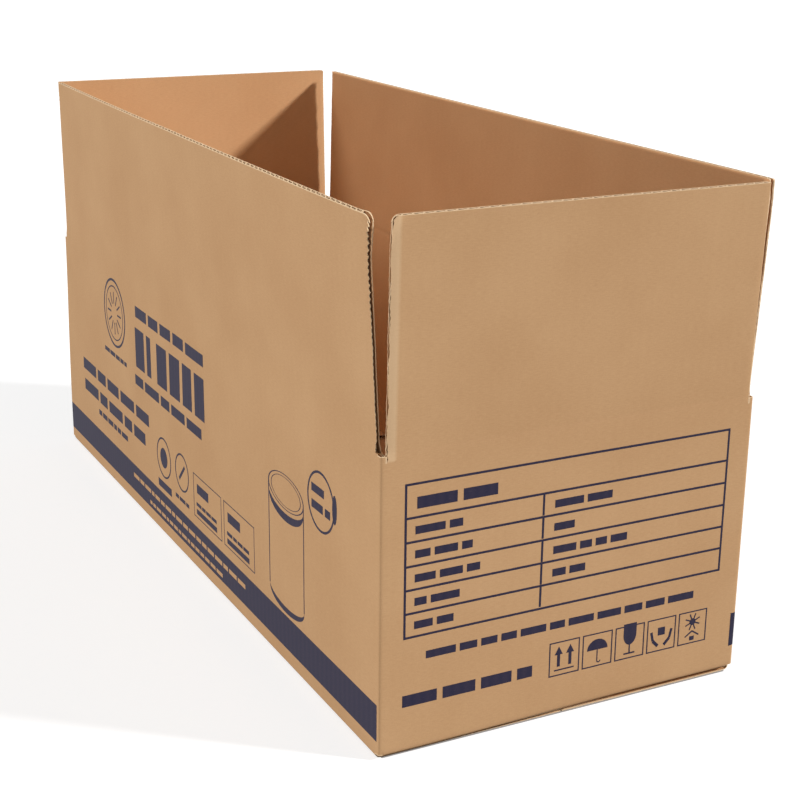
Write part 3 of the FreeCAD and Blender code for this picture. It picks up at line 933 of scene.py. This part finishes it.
# a plain jar in outline, with a ring and a leaf beside it
JAR_MIDDLE, JAR_HALF, JAR_FOOT, JAR_TOP = 205.0, 31.0, 55.0, 136.0
front_print.ring(JAR_MIDDLE, JAR_TOP, JAR_HALF, 1.4, 0.42)
front_print.ring(JAR_MIDDLE, JAR_TOP, JAR_HALF - 5.0, 0.9, 0.42)
front_print.crescent(JAR_MIDDLE, JAR_TOP - 5.0, JAR_HALF, 0.36, 6.0)
front_print.crescent(JAR_MIDDLE, JAR_FOOT, JAR_HALF, 0.28, 4.5)
for side in (-1, 1):
    front_print.bar(JAR_MIDDLE + side * JAR_HALF - 0.6, JAR_MIDDLE + side * JAR_HALF + 0.6,
                    JAR_FOOT, JAR_TOP)
front_print.ring(265.0, 150.0, 21.0, 1.8)
front_print.disc(287.0, 152.0, 3.6, 2.9)
front_print.words(250.0, 280.0, 154.0, 160.0, 15)
front_print.words(250.0, 280.0, 142.0, 148.0, 16)

# rear long wall
rear_print.bar(-LONG_RUN - 1.5, LONG_RUN + FOLD_ARC + 0.4, REAR_BAND_LOW, REAR_BAND_HIGH)

# near end wall: the ruled table, two rows of words, and five handling signs in frames
TABLE_LEFT, TABLE_RIGHT, TABLE_DIVIDER = -126.0, 125.0, -23.8
ROW_TOPS = (190.0, 167.3, 150.8, 134.2, 117.8, 101.4, 84.6)
RULE = 0.8                   # half the width of the table's lines
end_print.box(TABLE_LEFT, TABLE_RIGHT, ROW_TOPS[-1], ROW_TOPS[0], 2 * RULE)
for height in ROW_TOPS[1:-1]:
    end_print.bar(TABLE_LEFT + RULE, TABLE_RIGHT - RULE, height - RULE, height + RULE)
    end_print.bar(TABLE_DIVIDER - RULE, TABLE_DIVIDER + RULE, height - 15.4, height - RULE)
end_print.words(-118.0, -54.0, 173.0, 181.0, 21)
for k, (height, left_end, right_end) in enumerate(zip(
        ROW_TOPS[1:-1], (-76, -77, -71, -78, -90), (36, 1, 44, 15, None))):
    end_print.words(-119.0, left_end, height - 11.5, height - 6.0, 31 + k)
    if right_end:
        end_print.words(-15.0, right_end, height - 11.5, height - 6.0, 41 + k)
end_print.words(-110.0, 110.0, 67.0, 72.5, 51)
end_print.words(-127.0, -28.0, 35.5, 43.5, 52)
SIGN_LOW, SIGN_HIGH, SIGN_HALF, SIGN_STEP = 31.8, 56.2, 11.8, 26.9
sign = [-2.4 + SIGN_STEP * k for k in range(5)]                # middles of the frames
for middle in sign:
    end_print.box(middle - SIGN_HALF, middle + SIGN_HALF, SIGN_LOW, SIGN_HIGH, 0.9)
for side in (-4.6, 4.6):                                       # this way up
    end_print.bar(sign[0] + side - 1.2, sign[0] + side + 1.2, 38.0, 47.0)
    end_print.strip([(sign[0] + side - 3.2, 47.0), (sign[0] + side, 53.0),
                     (sign[0] + side + 3.2, 47.0)],
                    [(sign[0] + side - 3.2, 46.9), (sign[0] + side, 46.9),
                     (sign[0] + side + 3.2, 46.9)])
end_print.bar(sign[0] - 8.0, sign[0] + 8.0, 35.0, 36.0)
end_print.disc(sign[1], 44.0, 8.4, 0.95, cut=0.0)              # keep dry
end_print.line((sign[1], 44.0), (sign[1], 35.5), 0.8)
end_print.ring(sign[1] + 1.3, 35.6, 1.3, 0.8, 1.0, (180.0, 360.0))
end_print.disc(sign[2], 50.0, 5.4, 1.5, (186.0, 354.0), 1.0)   # handle with care
end_print.line((sign[2], 42.5), (sign[2], 36.0), 1.1)
end_print.bar(sign[2] - 4.6, sign[2] + 4.6, 34.8, 36.0)
for side in (-1, 1):                                           # hold from both sides
    end_print.line((sign[3] + side * 8.6, 47.0), (sign[3] + side * 7.0, 40.0), 2.0)
    end_print.line((sign[3] + side * 7.0, 40.0), (sign[3] + side * 2.6, 35.5), 2.4)
end_print.line((sign[3] - 3.0, 46.5), (sign[3] + 3.0, 46.5), 6.0)
for k in range(8):                                             # keep out of the sun
    end_print.spoke(sign[4], 48.2, 2.4, 6.6, 45.0 * k + 22.5, 1.0)
end_print.disc(sign[4], 48.2, 2.6)
end_print.line((sign[4] - 6.0, 37.0), (sign[4], 41.0), 1.1)
end_print.line((sign[4], 41.0), (sign[4] + 6.0, 37.0), 1.1)
end_print.bar(sign[4] - 2.0, sign[4] + 2.0, 33.8, 37.0)

NAVY = linear(24, 20, 46)


def ink_material():
    """Flexo ink: navy, thinner over the hollows of the flutes and between coarse fibres."""
    material, shader, start = new_material("navy_ink", 0.62)
    sheet = start.node("ShaderNodeAttribute", {"attribute_name": "blank"}, "Vector")
    parts = start.node("ShaderNodeSeparateXYZ", None, "X", Vector=sheet)
    fibres = sheet.stretched(0.35, 1.6, 1.0).noise(1.0, 4.0, 0.7)
    wash = start.math("SINE", parts * (2.0 * math.pi / FLUTE_PITCH)) * 0.5 + 0.5
    thin = (fibres.between(0.52, 0.80) * 0.22 + wash * 0.05).clamp()
    colour = thin.blend(NAVY, linear(98, 80, 90))
    bump = start.node("ShaderNodeBump", None, Height=fibres, Strength=0.15, Distance=0.1 * MM)
    links = material.node_tree.links
    links.new(colour.output, shader.inputs["Base Color"])
    links.new(bump.output, shader.inputs["Normal"])
    return material


navy_ink = ink_material()
for printed in (front_print, rear_print, end_print):
    printed.piece().data.materials.append(navy_ink)


# The room: a pale floor under an even white sky, and three distant lamps. The key lamp comes
# from behind on the right and throws the diagonal shadow inside, a nearly level one lights
# the rear flap's inside over the front wall, and a broad one fills the front.
FLOOR_SIZE = 60.0            # in metres, as is all of the room
FLOOR_DROP = 0.0002
FLOOR_LIFT = 0.72
SKY_STRENGTH = 0.29


def seen_by_eye(start):
    """1 for rays from the camera, also through a reflection or glass, and 0 for the rest."""
    rays = [start.node("ShaderNodeLightPath", None, f"Is {kind} Ray")
            for kind in ("Camera", "Glossy", "Transmission")]
    return sum(rays[1:], rays[0]).clamp()


def floor_material():
    """Pale matt floor. Seen directly it is lifted towards white and keeps the shadow.

    Under the case it isn't lifted, so the seam between the bottom flaps looks dark: a
    place is outside where the greater of |x| and |y|, less the case's limits, is over 0.
    """
    material, shader, start = new_material("pale_floor", 0.9)
    shader.inputs["Base Color"].default_value = linear(170, 170, 170)
    place = start.node("ShaderNodeNewGeometry", None, "Position")
    limits = {"X": HALF_LENGTH * MM - 0.003, "Y": HALF_WIDTH * MM - 0.004}
    beside = [start.math("ABSOLUTE", start.node("ShaderNodeSeparateXYZ", None, axis,
                                                Vector=place)) - limit
              for axis, limit in limits.items()]
    outside = start.math("GREATER_THAN", start.math("MAXIMUM", *beside), 0.0)
    lift = seen_by_eye(start) * outside
    colour = lift.blend((0.0, 0.0, 0.0, 1.0), (FLOOR_LIFT, FLOOR_LIFT, FLOOR_LIFT, 1.0))
    shader.inputs["Emission Strength"].default_value = 1.0
    material.node_tree.links.new(colour.output, shader.inputs["Emission Color"])
    return material


floor_mesh = bpy.data.meshes.new("floor")
half = FLOOR_SIZE / 2.0
floor_mesh.from_pydata([(-half, -half, -FLOOR_DROP), (half, -half, -FLOOR_DROP),
                        (half, half, -FLOOR_DROP), (-half, half, -FLOOR_DROP)], [],
                       [(0, 1, 2, 3)])
floor = bpy.data.objects.new("floor", floor_mesh)
bpy.context.scene.collection.objects.link(floor)
floor_mesh.materials.append(floor_material())

world = bpy.data.worlds.new("sky")
world.use_nodes = True
background = world.node_tree.nodes["Background"]
sky_level = seen_by_eye(Socket(world, None)) * (1.0 - SKY_STRENGTH) + SKY_STRENGTH
world.node_tree.links.new(sky_level.output, background.inputs["Strength"])
background.inputs["Color"].default_value = (1.0, 1.0, 1.0, 1.0)
bpy.context.scene.world = world


def distant_lamp(name, strength, way, spread):
    """A far lamp that shines along the given way; spread is its width in degrees."""
    data = bpy.data.lights.new(name, "SUN")
    data.energy = strength
    data.angle = math.radians(spread)
    made = bpy.data.objects.new(name, data)
    made.rotation_mode = "QUATERNION"
    made.rotation_quaternion = Vector(way).to_track_quat("-Z", "Y")
    bpy.context.scene.collection.objects.link(made)


distant_lamp("key_lamp", 3.6, (-1.0, -1.294, -1.0), 5.0)
distant_lamp("side_lamp", 1.28, (0.0, 1.0, -0.004), 0.4)
distant_lamp("front_lamp", 0.9, (0.3, 1.0, -0.7), 20.0)

bpy.context.scene.view_settings.view_transform = "Standard"
